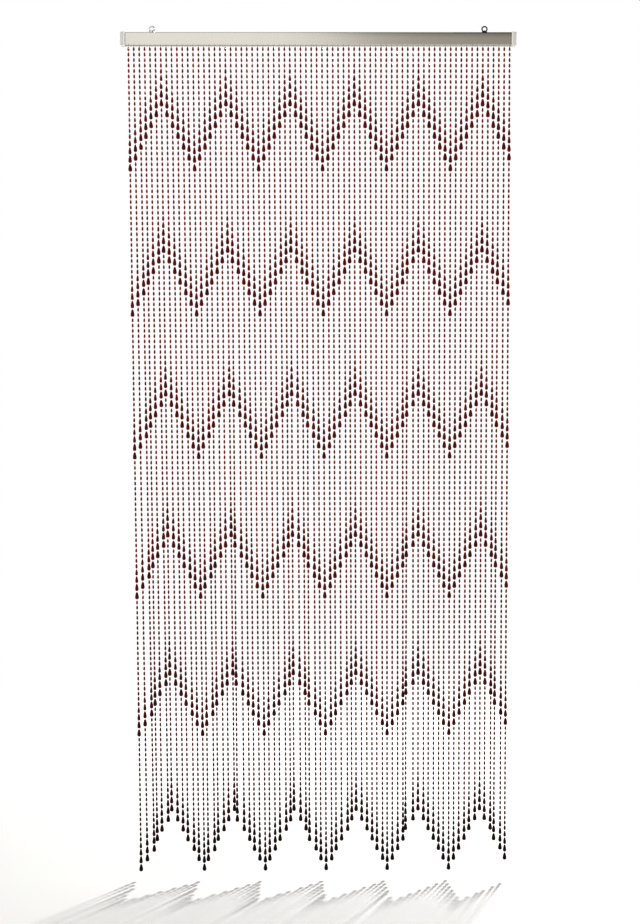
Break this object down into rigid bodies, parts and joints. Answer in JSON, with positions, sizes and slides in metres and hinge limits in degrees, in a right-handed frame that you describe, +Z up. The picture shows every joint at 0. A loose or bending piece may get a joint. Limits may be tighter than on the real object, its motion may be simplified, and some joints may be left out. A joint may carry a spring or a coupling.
{
  "type": "bead curtain on a headrail",
  "caption": "Door curtain of separate bead strands with zigzag rows of growing drop beads, hung from a slim aluminium headrail with end caps and hanging eyes.",
  "frame": {"origin": "midway between the two hanging eyes, at the middle of their holes", "axes": "+X along the rail to the right as seen from the front, -Y out of the curtain's face, +Z up"},
  "size_m": [0.9, 0.021, 1.9823],
  "materials": {
    "rail_metal": "satin anodised aluminium, brushed along its length",
    "cap_plastic": "moulded off-white plastic, slightly translucent",
    "eye_metal": "bright plated steel wire",
    "bead_plastic": "glossy dark wine-red plastic beads on clear cord",
    "cord_nylon": "clear nylon cord",
    "strip_plastic": "plain white plastic carrier strip"
  },
  "bodies": {
    "root": {"rail": "rail_metal", "end_cap_left": "cap_plastic", "end_cap_right": "cap_plastic", "eye_left": "eye_metal", "eye_right": "eye_metal", "strands": "bead_plastic"}
  },
  "joints": []
}
